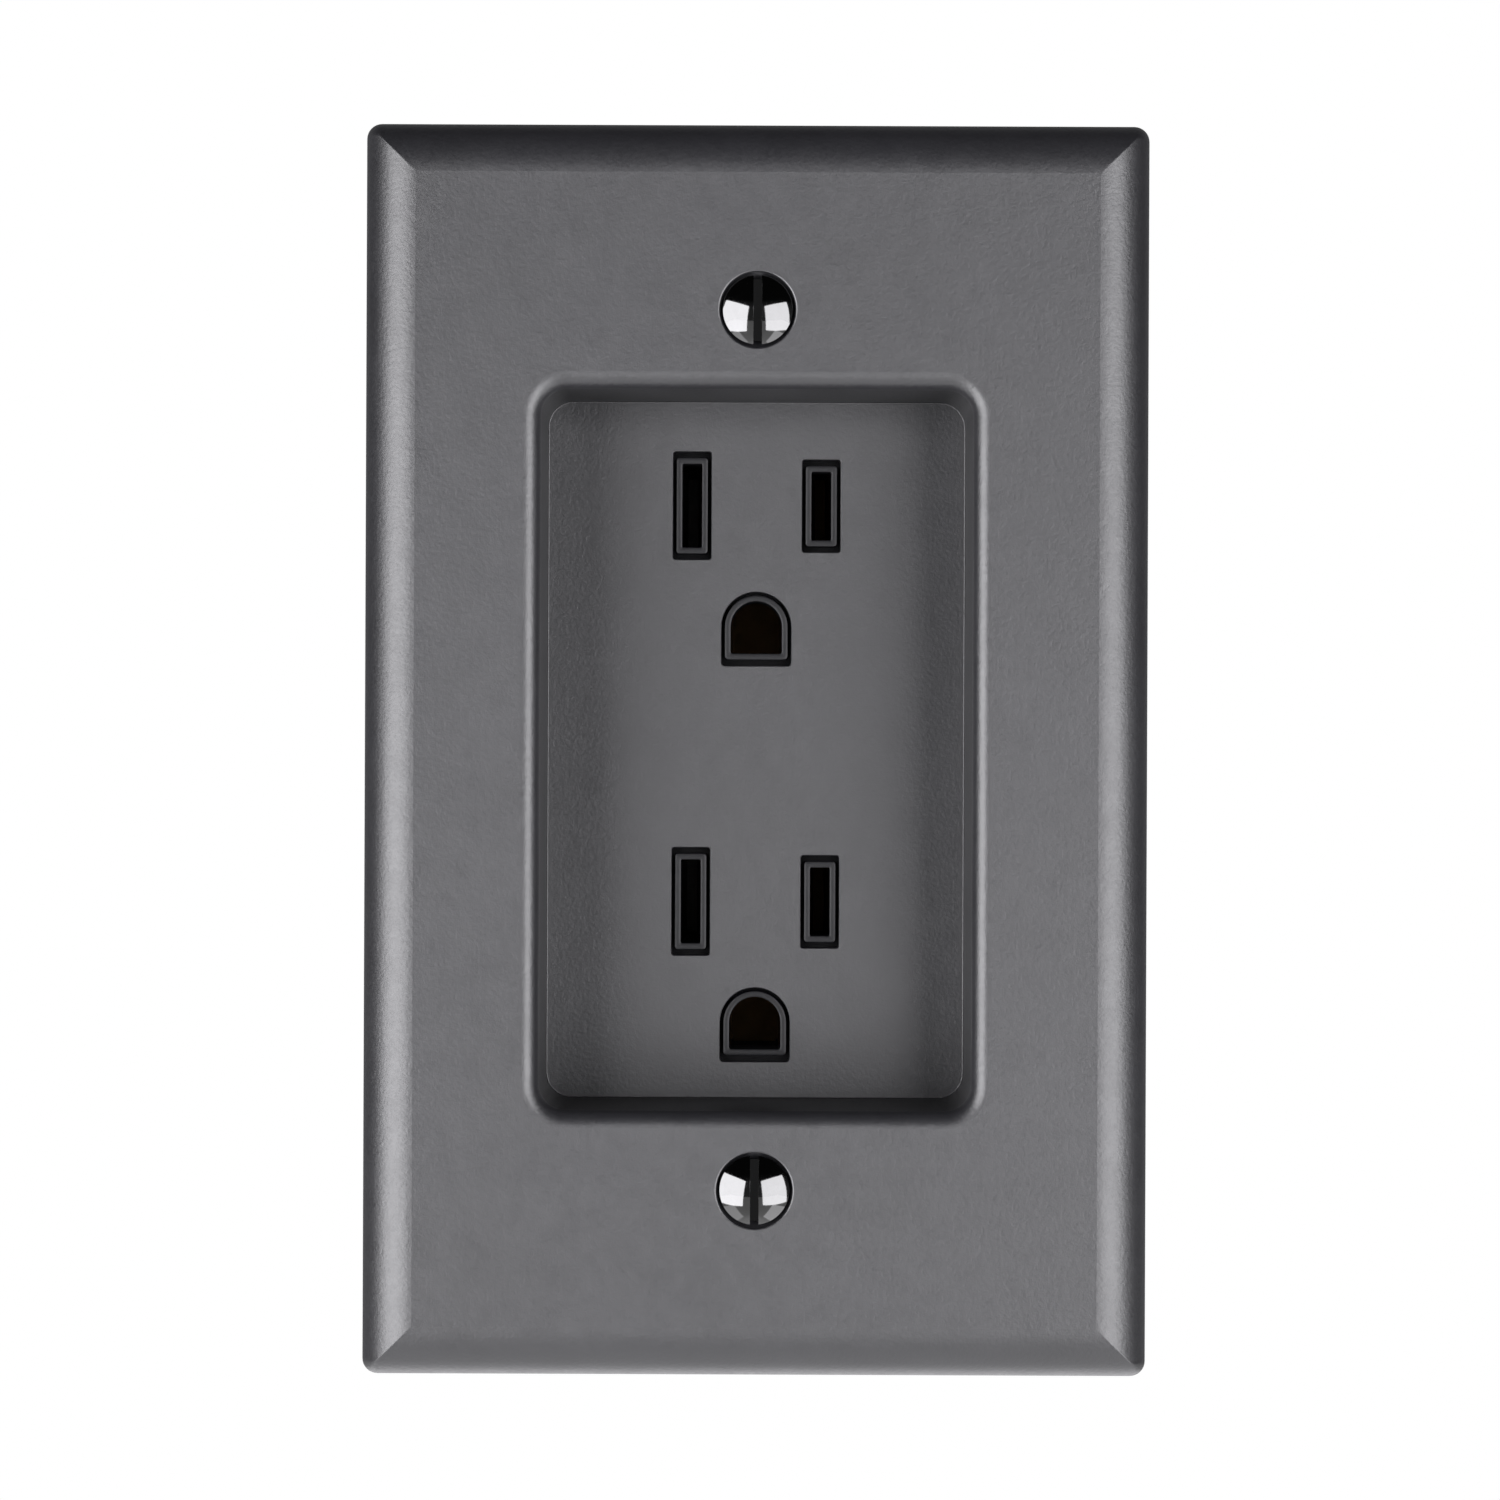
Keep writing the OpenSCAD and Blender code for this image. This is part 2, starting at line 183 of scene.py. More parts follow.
def box_loop(
    cx: float, cz: float, half_w: float, half_h: float, radius: float, y: float, steps: int = 8
) -> list[POINT]:
    """Points of a rectangle with round corners, in a plane across Y.

    Args:
        cx: the middle, along X.
        cz: the middle, along Z.
        half_w: half the width.
        half_h: half the height.
        radius: the corners' radius.
        y: the plane.
        steps: segments in each corner.

    Returns:
        The points, in order.
    """
    r = max(radius, 0.02)
    points = []
    for k, (sx, sz) in enumerate(((1, 1), (-1, 1), (-1, -1), (1, -1))):
        for i in range(steps + 1):
            a = math.radians(90 * k + 90 * i / steps)
            points.append((cx + sx * (half_w - r) + r * math.cos(a), y, cz + sz * (half_h - r) + r * math.sin(a)))
    return points


def ring_loop(cx: float, cz: float, radius: float, y: float, steps: int = 64) -> list[POINT]:
    """Points of a circle round cx and cz in a plane across Y."""
    turn = 2 * math.pi / steps
    return [(cx + radius * math.cos(i * turn), y, cz + radius * math.sin(i * turn)) for i in range(steps)]


def arch_loop(cz: float, radius: float, flat: float, corner: float, y: float, steps: int = 24) -> list[POINT]:
    """Points of a ground opening, round on top and flat at the bottom.

    Args:
        cz: height of the round top's centre.
        radius: radius of the round top.
        flat: distance from the centre down to the flat bottom.
        corner: radius of the two bottom corners.
        y: the plane.
        steps: segments in the round top.

    Returns:
        The points, in order.
    """
    c = min(corner, flat * 0.5)
    points = []
    for i in range(steps + 1):
        a = math.pi * i / steps
        points.append((radius * math.cos(a), y, cz + radius * math.sin(a)))
    for start, sx in ((180, -1), (270, 1)):
        for i in range(5):
            a = math.radians(start + 90 * i / 4)
            points.append((sx * (radius - c) + c * math.cos(a), y, cz - flat + c + c * math.sin(a)))
    return points


def baked(piece: PIECE) -> PIECE:
    """Makes a piece's modifiers part of its mesh.

    Args:
        piece: the piece, with its modifiers.

    Returns:
        The same piece, with a plain mesh and no modifiers.
    """
    graph = bpy.context.evaluated_depsgraph_get()
    mesh = bpy.data.meshes.new_from_object(piece.evaluated_get(graph), preserve_all_data_layers=True, depsgraph=graph)
    piece.modifiers.clear()
    old = piece.data
    piece.data = mesh
    mesh.name = piece.name
    bpy.data.meshes.remove(old)
    return piece


def lathe(name: str, profile: Sequence[tuple[float, float]], steps: int = 64) -> PIECE:
    """Turns a profile round the Z axis into a closed solid.

    Args:
        name: the new object's name.
        profile: radius and height of each point, in mm; the two ends lie on the axis.
        steps: segments round the axis.

    Returns:
        The turned solid, in metres.
    """
    shell = Shell()
    turns = [2 * math.pi * i / steps for i in range(steps)]
    rows: list[VERTS] = []
    for radius, height in profile:
        spots = [(radius * math.cos(a), radius * math.sin(a), height) for a in turns] if radius else [(0, 0, height)]
        rows.append([shell.bm.verts.new(spot) for spot in spots])
    for a, b in zip(rows, rows[1:]):
        for i in range(steps):
            j = (i + 1) % steps
            if len(a) == 1:
                shell.bm.faces.new((a[0], b[j], b[i]))
            elif len(b) == 1:
                shell.bm.faces.new((a[i], a[j], b[0]))
            else:
                shell.bm.faces.new((a[i], a[j], b[j], b[i]))
    return shell.finish(name, crisp=24.0)


def brick(name: str, low: POINT, high: POINT) -> PIECE:
    """A plain block used to cut slots, in metres.

    Args:
        name: the new object's name.
        low: the lowest corner, in mm.
        high: the highest corner, in mm.

    Returns:
        The block.
    """
    shell = Shell()
    bmesh.ops.create_cube(shell.bm, size=1.0)
    for vert in shell.bm.verts:
        vert.co = Vector([low[i] + (vert.co[i] + 0.5) * (high[i] - low[i]) for i in range(3)])
    return shell.finish(name)


def carve(piece: PIECE, cutter: PIECE, operation: str = "DIFFERENCE") -> None:
    """Cuts a piece with another solid and removes that solid.

    Args:
        piece: the piece to cut; it ends with a plain mesh.
        cutter: the other solid.
        operation: DIFFERENCE takes the cutter away, INTERSECT keeps what is inside it.
    """
    tool = piece.modifiers.new("cut", "BOOLEAN")
    tool.operation = operation
    tool.solver = "EXACT"
    tool.object = cutter
    baked(piece)
    bpy.data.objects.remove(cutter)


def weld(name: str, parts: Sequence[PIECE], place: Matrix, crisp: float = 28.0) -> PIECE:
    """Puts several meshes in one object and sets it in place.

    Args:
        name: the new object's name.
        parts: the objects to put together; they are removed.
        place: where the whole goes.
        crisp: faces that meet at more than this many degrees get a crisp edge.

    Returns:
        The new object, at the origin, with its place in its mesh.
    """
    bm = bmesh.new()
    for part in parts:
        bm.from_mesh(part.data)
        bpy.data.objects.remove(part)
    bm.transform(place)
    if place.determinant() < 0:
        bmesh.ops.reverse_faces(bm, faces=bm.faces)
    for edge in bm.edges:
        edge.smooth = edge.calc_face_angle(0.0) <= math.radians(crisp)
    for face in bm.faces:
        face.smooth = True
    return meshed(name, bm)


# --- finishes


class NodeBench:
    """Adds and wires nodes of one node tree with short calls."""

    def __init__(self, tree: bpy.types.NodeTree) -> None:
        """Works on a tree."""
        self.tree = tree

    def add(self, kind: str, values: dict[str | int, object] | None = None, **settings: object) -> bpy.types.Node:
        """Adds a node.

        Args:
            kind: the node's type name.
            values: input socket, by name or number, to its value or to the socket that feeds it.
            settings: the node's own properties.

        Returns:
            The new node.
        """
        node = self.tree.nodes.new(kind)
        for key, value in settings.items():
            setattr(node, key, value)
        for key, value in (values or {}).items():
            if isinstance(value, SOCKET):
                self.tree.links.new(value, node.inputs[key])
            else:
                node.inputs[key].default_value = value
        return node

    def math(self, operation: str, *values: object) -> SOCKET:
        """Adds a maths node, fed by numbers or sockets, and gives its result."""
        return self.add("ShaderNodeMath", dict(enumerate(values)), operation=operation).outputs[0]

    def mix(self, factor: SOCKET, a: object, b: object) -> SOCKET:
        """Adds a mix of two colours or sockets and gives its result."""
        return self.add("ShaderNodeMix", {0: factor, 6: a, 7: b}, data_type="RGBA").outputs[2]

    def noise(self, vector: SOCKET, scale: float, detail: float, roughness: float) -> SOCKET:
        """Adds a noise texture and gives its factor."""
        values = {"Vector": vector, "Scale": scale, "Detail": detail, "Roughness": roughness}
        return self.add("ShaderNodeTexNoise", values).outputs["Fac"]

    def ramp(self, value: SOCKET, start: float, end: float, low: float = 0.0, high: float = 1.0) -> SOCKET:
        """Adds a map that takes start to low and end to high, and gives its result."""
        values = {"Value": value, "From Min": start, "From Max": end, "To Min": low, "To Max": high}
        return self.add("ShaderNodeMapRange", values).outputs[0]


class Base(Enum):
    """What a finish is made on."""

    PLASTIC = 0.0
    METAL = 1.0


@dataclass(frozen=True)
class Finish:
    """A surface with grain, mottling and wear, made of nodes on object coordinates.

    Attributes:
        name: the material's name.
        colour: the main colour, linear.
        base: plastic or metal.
        roughness: the middle roughness.
        swing: how far the roughness strays from the middle.
        mottle: how far the colour strays, as a share.
        mottle_scale: blotches per metre.
        grain_scale: grains per metre.
        grain: bump strength of the grain.
        grain_depth: bump distance, in metres.
        stretch: how much the grain is drawn out along each axis, as in brushing or turning.
        specular: the specular level.
        cloud: how far the roughness drifts from blotch to blotch.
        worn: a lighter or darker colour that shows through in blotches.
        wear: how much of the surface is worn.
    """

    name: str
    colour: RGB
    base: Base
    roughness: float
    swing: float = 0.05
    mottle: float = 0.06
    mottle_scale: float = 120.0
    grain_scale: float = 2600.0
    grain: float = 0.15
    grain_depth: float = 0.00004
    stretch: POINT = (1.0, 1.0, 1.0)
    specular: float = 0.5
    cloud: float = 0.0
    worn: RGB = (0.3, 0.3, 0.3)
    wear: float = 0.0

    def material(self) -> bpy.types.Material:
        """Builds the material, or returns it if it is there already.

        Returns:
            The material.
        """
        known = bpy.data.materials.get(self.name)
        if known is not None:
            return known
        made = bpy.data.materials.new(self.name)
        made.use_nodes = True
        made.diffuse_color = (*self.colour, 1.0)
        made.node_tree.nodes.clear()
        bench = NodeBench(made.node_tree)
        place = bench.add("ShaderNodeTexCoord").outputs["Object"]
        drawn = bench.add("ShaderNodeMapping", {"Vector": place, "Scale": self.stretch}).outputs[0]
        blotch = bench.noise(place, self.mottle_scale, 5.0, 0.62)
        grain = bench.noise(drawn, self.grain_scale, 3.0, 0.6)
        low = tuple(c * (1 - self.mottle) for c in self.colour)
        high = tuple(c * (1 + self.mottle) for c in self.colour)
        tint = bench.mix(bench.ramp(blotch, 0.3, 0.7), (*low, 1.0), (*high, 1.0))
        fine = bench.ramp(grain, 0.25, 0.75, -1.0, 1.0)
        shade = bench.math("MULTIPLY_ADD", fine, self.mottle * 0.6, 1.0)
        tint = bench.add("ShaderNodeVectorMath", {0: tint, 1: shade}, operation="MULTIPLY").outputs[0]
        if self.wear > 0:
            patch = bench.noise(drawn, self.mottle_scale * 2.7, 8.0, 0.7)
            tint = bench.mix(bench.ramp(patch, 0.56, 0.72, 0.0, self.wear), tint, (*self.worn, 1.0))
        rough = bench.ramp(grain, 0.25, 0.75, self.roughness - self.swing, self.roughness + self.swing)
        if self.cloud > 0:
            drift = bench.noise(place, self.mottle_scale * 5, 2.0, 0.5)
            rough = bench.math("ADD", rough, bench.math("MULTIPLY_ADD", drift, self.cloud * 4, self.cloud * -2))
        relief = {"Height": grain, "Strength": self.grain, "Distance": self.grain_depth}
        bump = bench.add("ShaderNodeBump", relief).outputs[0]
        shader = bench.add(
            "ShaderNodeBsdfPrincipled",
            {
                "Base Color": tint,
                "Roughness": rough,
                "Metallic": self.base.value,
                "Specular IOR Level": self.specular,
                "Normal": bump,
            },
        )
        bench.add("ShaderNodeOutputMaterial", {"Surface": shader.outputs[0]})
        return made

    def dress(self, piece: PIECE) -> None:
        """Gives a piece this finish alone."""
        piece.data.materials.clear()
        piece.data.materials.append(self.material())

    def dress_both(self, piece: PIECE, other: "Finish", wants: Callable[[Vector], bool]) -> None:
        """Gives a piece this finish, and another one on some of its faces.

        Args:
            piece: the piece.
            other: the other finish.
            wants: tells from a face's centre, in metres, whether the face gets the other finish.
        """
        self.dress(piece)
        piece.data.materials.append(other.material())
        for face in piece.data.polygons:
            face.material_index = int(wants(face.center))


PLATE = Finish(
    "charcoal_satin_moulding", (0.0108, 0.0107, 0.0126), Base.PLASTIC, roughness=0.415, swing=0.035,
    mottle=0.14, mottle_scale=95, grain=0.5, grain_depth=0.00006, specular=1.0, cloud=0.022,
)
# A lighter copy of the plate's moulding, with less sheen, for the recess walls of the same moulding. The lighter
# colour is painted light on the walls, and the weaker sheen throws less light onto the floor near them.
PAINTED_LIGHT_WALL = replace(
    PLATE, name="charcoal_wall_painted_light", colour=(0.0150, 0.0150, 0.0162), roughness=0.46,
    grain=0.3, grain_depth=0.00004, specular=0.5, cloud=0.0,
)
# Darker than the plate's moulding, which the real collars match: painted shade on the collars deep in their openings.
SHADED_FACE = Finish(
    "charcoal_insulator_painted_shade", (0.0070, 0.0070, 0.0082), Base.PLASTIC, roughness=0.43, swing=0.03,
    mottle=0.12, mottle_scale=110, grain=0.4, specular=0.33,
)
# A still darker, duller copy for the collars' sides and the slab seen round them: painted shade in the gaps round the
# collars.
PAINTED_SHADOW_SLAB = replace(
    SHADED_FACE, name="charcoal_insulator_back_painted_shade", colour=(0.0050, 0.0050, 0.0060), roughness=0.55, swing=0.04,
    grain=0.3, specular=0.12,
)
HOUSING = Finish(
    "black_matt_moulding", (0.014, 0.014, 0.016), Base.PLASTIC, roughness=0.52, swing=0.06, mottle=0.1,
    mottle_scale=160, grain=0.25,
)
BRASS = Finish(
    "stamped_brass", (0.60, 0.40, 0.15), Base.METAL, roughness=0.33, swing=0.08, mottle_scale=260,
    grain_scale=1500, stretch=(1.0, 0.08, 1.0), worn=(0.30, 0.17, 0.06), wear=0.35,
)
BRONZE = replace(
    BRASS, name="dull_contact_bronze", colour=(0.20, 0.125, 0.06), roughness=0.5, mottle=0.12,
    worn=(0.10, 0.06, 0.03), wear=0.4,
)
TINNED = replace(
    BRONZE, name="dull_contact_tin", colour=(0.21, 0.20, 0.185), mottle=0.10, worn=(0.12, 0.10, 0.08), wear=0.35,
)
NICKEL = replace(
    BRASS, name="stamped_nickelled_brass", colour=(0.60, 0.57, 0.50), roughness=0.30, mottle=0.05,
    worn=(0.42, 0.36, 0.27), wear=0.3,
)
BRASS_TURNED = Finish(
    "turned_brass", (0.68, 0.45, 0.16), Base.METAL, roughness=0.24, swing=0.07, mottle=0.05, mottle_scale=500,
    grain_scale=3500, stretch=(0.1, 1.0, 1.0), worn=(0.36, 0.2, 0.07), wear=0.25,
)
NICKEL_TURNED = replace(
    BRASS_TURNED, name="turned_nickelled_brass", colour=(0.66, 0.64, 0.58), roughness=0.22,
    worn=(0.4, 0.37, 0.3), wear=0.2,
)
ZINC = replace(
    BRASS, name="zinc_plated_strip", colour=(0.46, 0.47, 0.48), roughness=0.47, swing=0.07, mottle=0.08,
    grain_scale=1600, stretch=(1.0, 0.5, 0.5), worn=(0.37, 0.375, 0.38), wear=0.2,
)
CASE_STEEL = Finish(
    "zinc_plated_turning", (0.46, 0.47, 0.49), Base.METAL, roughness=0.30, swing=0.08, mottle=0.08,
    mottle_scale=500, grain_scale=3200, worn=(0.25, 0.25, 0.26), wear=0.3,
)
SHANK = replace(CASE_STEEL, name="zinc_plated_shank", colour=(0.42, 0.43, 0.45), roughness=0.28, wear=0.25)
GREEN = replace(
    CASE_STEEL, name="green_dyed_steel", colour=(0.02, 0.15, 0.055), roughness=0.34, mottle=0.12,
    grain_scale=3000, worn=(0.25, 0.26, 0.24), wear=0.25,
)
CHROME = Finish(
    "dark_polished_chrome", (0.12, 0.12, 0.12), Base.METAL, roughness=0.06, swing=0.025, mottle=0.03,
    mottle_scale=600, grain=0.02, grain_depth=0.00001,
)
FIBRE = Finish(
    "vulcanised_fibre", (0.16, 0.07, 0.035), Base.PLASTIC, roughness=0.78, swing=0.08, mottle=0.22,
    mottle_scale=700, grain_scale=2200, grain=0.6, stretch=(1.0, 1.0, 0.25), specular=0.3,
)
FLOOR_PAINT = Finish(
    "floor_paint", (0.8, 0.8, 0.8), Base.PLASTIC, roughness=0.8, mottle=0.01, mottle_scale=2, grain_scale=40,
    grain=0.02, specular=0.1,
)


# --- pieces cut by loops


@dataclass
class Outlets:
    """Where the openings of both outlets are and how large they are, in mm."""

    heights: tuple[float, float] = (24.0, -14.9)
    blade_x: float = 6.35
    ground_drop: float = 11.89
    slot_half_w: float = 0.95
    neutral_half_h: float = 4.1
    hot_half_h: float = 3.35
    ground_r: float = 2.5
    ground_flat: float = 2.62

    def loops(self, side: float, ends: float, under: float, y: float, corner: float = 0.15) -> list[list[POINT]]:
        """Outlines of all six openings, made larger by some margins.

        Args:
            side: margin beside the slots and round the ground hole.
            ends: margin above and below the slots.
            under: margin under the ground hole's flat.
            y: the plane.
            corner: radius of the corners.

        Returns:
            Six loops of points: neutral, hot and ground of the upper outlet, then of the lower.
        """
        made = []
        half_w = self.slot_half_w + side
        for z in self.heights:
            drop = z - self.ground_drop
            made.append(box_loop(-self.blade_x, z, half_w, self.neutral_half_h + ends, corner, y, 4))
            made.append(box_loop(self.blade_x, z, half_w, self.hot_half_h + ends, corner, y, 4))
            made.append(arch_loop(drop, self.ground_r + side, self.ground_flat + under, corner + 0.1, y))
        return made


@dataclass
class FacePlate:
    """The cover plate and its recess, one moulding; sizes in mm."""

    width: float = 74.6
    height: float = 119.1
    front: float = -5.6
    corner: float = 1.45
    crown_run: float = 4.9
    crown_centre: float = 5.2
    crown_radius: float = 5.6
    edge_round: float = 0.6
    skin_y: float = -3.4
    rim: float = 2.4
    rim_corner: float = 0.9
    recess_w: float = 41.0
    recess_h: float = 68.4
    recess_corner: float = 2.5
    lip: float = 1.6
    floor_y: float = 11.4
    floor_round: float = 0.12
    floor_back: float = 13.6
    cup_wall: float = 2.0
    sink_r: float = 3.6
    bore_r: float = 3.6
    bore_depth: float = 0.9
    bore_ease: float = 0.16
    ledge_w: float = 0.65
    ledge_rise: float = 0.3
    ledge_drop: float = 0.35
    screw_hole_r: float = 2.0
    boss_x: float = 13.2
    boss_z: float = 32.8
    boss_r: float = 3.2
    boss_back: float = 19.4
    boss_ease: float = 0.25
    pilot_r: float = 1.42
    pilot_end: float = 12.7
    outlets: Outlets = field(default_factory=Outlets)

    def crown(self) -> list[tuple[float, float]]:
        """The bevel's section, from the flat front to the side wall.

        Returns:
            Distance in from the outline and depth of each point.
        """
        drop = math.sqrt(self.crown_radius**2 - (self.crown_centre - self.crown_run) ** 2)
        centre_y = self.front + drop
        first = math.asin((self.crown_centre - self.crown_run) / self.crown_radius)
        last = math.asin((self.crown_centre - self.edge_round) / (self.crown_radius - self.edge_round))
        points = []
        for i in range(25):
            a = first + (last - first) * i / 24
            inset = self.crown_centre - self.crown_radius * math.sin(a)
            points.append((inset, centre_y - self.crown_radius * math.cos(a)))
        small_y = points[-1][1] + self.edge_round * math.cos(last)
        for i in range(1, 7):
            a = last + (math.pi / 2 - last) * i / 6
            points.append((self.edge_round * (1 - math.sin(a)), small_y - self.edge_round * math.cos(a)))
        return points

    def outline(self, inset: float, y: float, least: float = 0.1) -> list[POINT]:
        """The plate's outline moved in by some distance, with corners of at least some radius."""
        radius = max(self.corner - inset, least)
        return box_loop(0, 0, self.width / 2 - inset, self.height / 2 - inset, radius, y)

    def mouth(self, out: float, y: float) -> list[POINT]:
        """The recess outline moved out by some distance."""
        return box_loop(0, 0, self.recess_w / 2 + out, self.recess_h / 2 + out, self.recess_corner + out, y)

    def build(self) -> PIECE:
        """Builds the whole moulding as one closed mesh.

        Returns:
            The face plate.
        """
        s = Shell()
        crown = self.crown()
        outer = [self.outline(inset, y) for inset, y in crown]
        outer += [self.outline(0.0, -0.25), self.outline(0.06, -0.08), self.outline(0.22, 0.0)]
        skin, back = self.skin_y, self.floor_back
        foot = ((-0.15, 0.0), (0.0, -0.15), (0.0, skin + 0.6), (0.18, skin + 0.18), (0.6, skin))
        outer += [self.outline(self.rim + inset, y, self.rim_corner) for inset, y in foot]
        front_edge, inner_edge = s.stack(outer)

        lip_steps, floor_steps = 12, 5
        cut = []
        for i in range(lip_steps + 1):
            a = math.pi / 2 * i / lip_steps
            cut.append(self.mouth(self.lip * (1 - math.sin(a)), self.front + self.lip * (1 - math.cos(a))))
        for i in range(floor_steps + 1):
            a = math.pi / 2 * i / floor_steps
            inset = self.floor_round * (1 - math.cos(a))
            cut.append(self.mouth(-inset, self.floor_y - self.floor_round * (1 - math.sin(a))))
        mouth_edge, floor_edge = s.stack(cut)

        seats = [self._seat(s, z) for z in (SCREW_Z, -SCREW_Z)]
        s.fill([front_edge, mouth_edge, *(first for first, _ in seats)], (0, -1, 0))

        cup = [(0.5, skin), (0.15, skin + 0.15), (0.0, skin + 0.5)]
        cup += [(0.0, back - 0.4), (-0.12, back - 0.12), (-0.4, back)]
        cup_first, cup_last = s.stack([self.mouth(self.cup_wall + out, y) for out, y in cup])
        s.fill([inner_edge, cup_first, *(last for _, last in seats)], (0, 1, 0))

        runs = zip(
            self.outlets.loops(0.99, 1.27, 1.30, self.floor_y, 0.3),
            self.outlets.loops(0.95, 1.23, 1.26, self.floor_y + 0.03, 0.27),
            self.outlets.loops(0.92, 1.2, 1.23, self.floor_y + 0.12, 0.25),
            self.outlets.loops(0.92, 1.2, 1.23, back, 0.25),
        )
        openings = [s.stack(run) for run in runs]
        s.fill([floor_edge, *(top for top, _ in openings)], (0, -1, 0))

        bosses = [self._boss(s, x, z) for x in (self.boss_x, -self.boss_x) for z in (self.boss_z, -self.boss_z)]
        s.fill([cup_last, *(bottom for _, bottom in openings), *bosses], (0, 1, 0))
        piece = s.finish("cover_plate")
        # The recess walls take the lighter copy: painted light on the walls.
        PLATE.dress_both(piece, PAINTED_LIGHT_WALL, self._on_wall)
        return piece

    def _seat(self, s: Shell, z: float) -> tuple[VERTS, VERTS]:
        """Walls a mounting screw's counterbore, countersink and hole.

        Args:
            s: the moulding's shell.
            z: the hole's height.

        Returns:
            The loops on the front and on the back of the plate.
        """
        floor = self.front + self.bore_depth
        rings = (
            (self.bore_r + self.bore_ease, self.front),
            (self.bore_r + 0.05, self.front + 0.05),
            (self.bore_r, self.front + self.bore_ease),
            (self.bore_r, floor - self.ledge_rise),
            (self.bore_r - self.ledge_w, floor + self.ledge_drop),
            (self.screw_hole_r, self.front + (self.sink_r - self.screw_hole_r) / SINK_SLOPE),
            (self.screw_hole_r, self.skin_y),
        )
        return s.stack([ring_loop(0, z, radius, y) for radius, y in rings])

    def _boss(self, s: Shell, x: float, z: float) -> VERTS:
        """Walls a boss on the cup's back and its pilot hole.

        Args:
            s: the moulding's shell.
            x: the boss's middle, along X.
            z: the boss's middle, along Z.

        Returns:
            The loop where the boss meets the cup.
        """
        ease = self.boss_ease
        rings = (
            (self.boss_r, self.floor_back),
            (self.boss_r, self.boss_back - ease),
            (self.boss_r - ease, self.boss_back),
            (self.pilot_r + 0.2, self.boss_back),
            (self.pilot_r, self.boss_back - ease),
            (self.pilot_r, self.pilot_end),
        )
        base, deep = s.stack([ring_loop(x, z, radius, y, 40) for radius, y in rings])
        s.fill([deep], (0, 1, 0))
        return base

    def _on_wall(self, centre: Vector) -> bool:
        """Whether a face with this centre, in metres, is on a wall of the recess."""
        x, y, z = (c / MM for c in centre)
        inside = abs(x) < self.recess_w / 2 + 0.01 and abs(z) < self.recess_h / 2 + 0.01
        return inside and self.front + self.lip < y < self.floor_y - 0.005


@dataclass
class OutletFace:
    """The insulating face behind the recess floor, with a collar in each opening; sizes in mm."""

    half_w: float = 16.5
    half_h: float = 36.2
    notch_x: float = 9.5
    notch_z: float = 28.8
    front: float = 13.6
    back: float = 17.6
    slab_ease: float = 0.2
    collar_front: float = 11.5
    # Faces deeper than this behind the collars' front get painted shade.
    painted_shade_start: float = 0.4
    outlets: Outlets = field(default_factory=Outlets)

    def slab(self, trim: float, y: float) -> list[POINT]:
        """The slab's outline, with a notch at each corner for the bosses.

        Args:
            trim: how far the outline is moved in.
            y: the plane.

        Returns:
            The loop's points.
        """
        w, h = self.half_w - trim, self.half_h - trim
        nx, nz = self.notch_x - trim, self.notch_z - trim
        corner = [(w, nz), (nx, nz), (nx, h)]
        points = [(x, y, z) for x, z in corner]
        points += [(-x, y, z) for x, z in reversed(corner)]
        points += [(-x, y, -z) for x, z in corner]
        points += [(x, y, -z) for x, z in reversed(corner)]
        return points

    def build(self) -> PIECE:
        """Builds the slab and its six collars as one closed mesh.

        Returns:
            The outlet face.
        """
        s = Shell()
        ease, c = self.slab_ease, self.collar_front
        sides = ((ease, self.front), (0, self.front + ease), (0, self.back - ease), (ease, self.back))
        first, last = s.stack([self.slab(trim, y) for trim, y in sides])
        runs = zip(
            self.outlets.loops(0.60, 0.62, 0.62, self.front, 0.3),
            self.outlets.loops(0.60, 0.62, 0.62, c + 0.14, 0.3),
            self.outlets.loops(0.56, 0.58, 0.58, c + 0.03, 0.28),
            self.outlets.loops(0.48, 0.50, 0.50, c, 0.25),
            self.outlets.loops(0.14, 0.14, 0.14, c, 0.2),
            self.outlets.loops(0.04, 0.04, 0.04, c + 0.04, 0.17),
            self.outlets.loops(0.0, 0.0, 0.0, c + 0.16, 0.15),
            self.outlets.loops(0.0, 0.0, 0.0, self.back, 0.15),
        )
        collars = [s.stack(run) for run in runs]
        s.fill([first, *(front for front, _ in collars)], (0, -1, 0))
        s.fill([last, *(back for _, back in collars)], (0, 1, 0))
        piece = s.finish("outlet_insulator")
        # Faces a little behind the collars' front get the darker copy: painted shade in the gaps.
        SHADED_FACE.dress_both(piece, PAINTED_SHADOW_SLAB, lambda centre: centre.y > (c + self.painted_shade_start) * MM)
        return piece


# --- screws


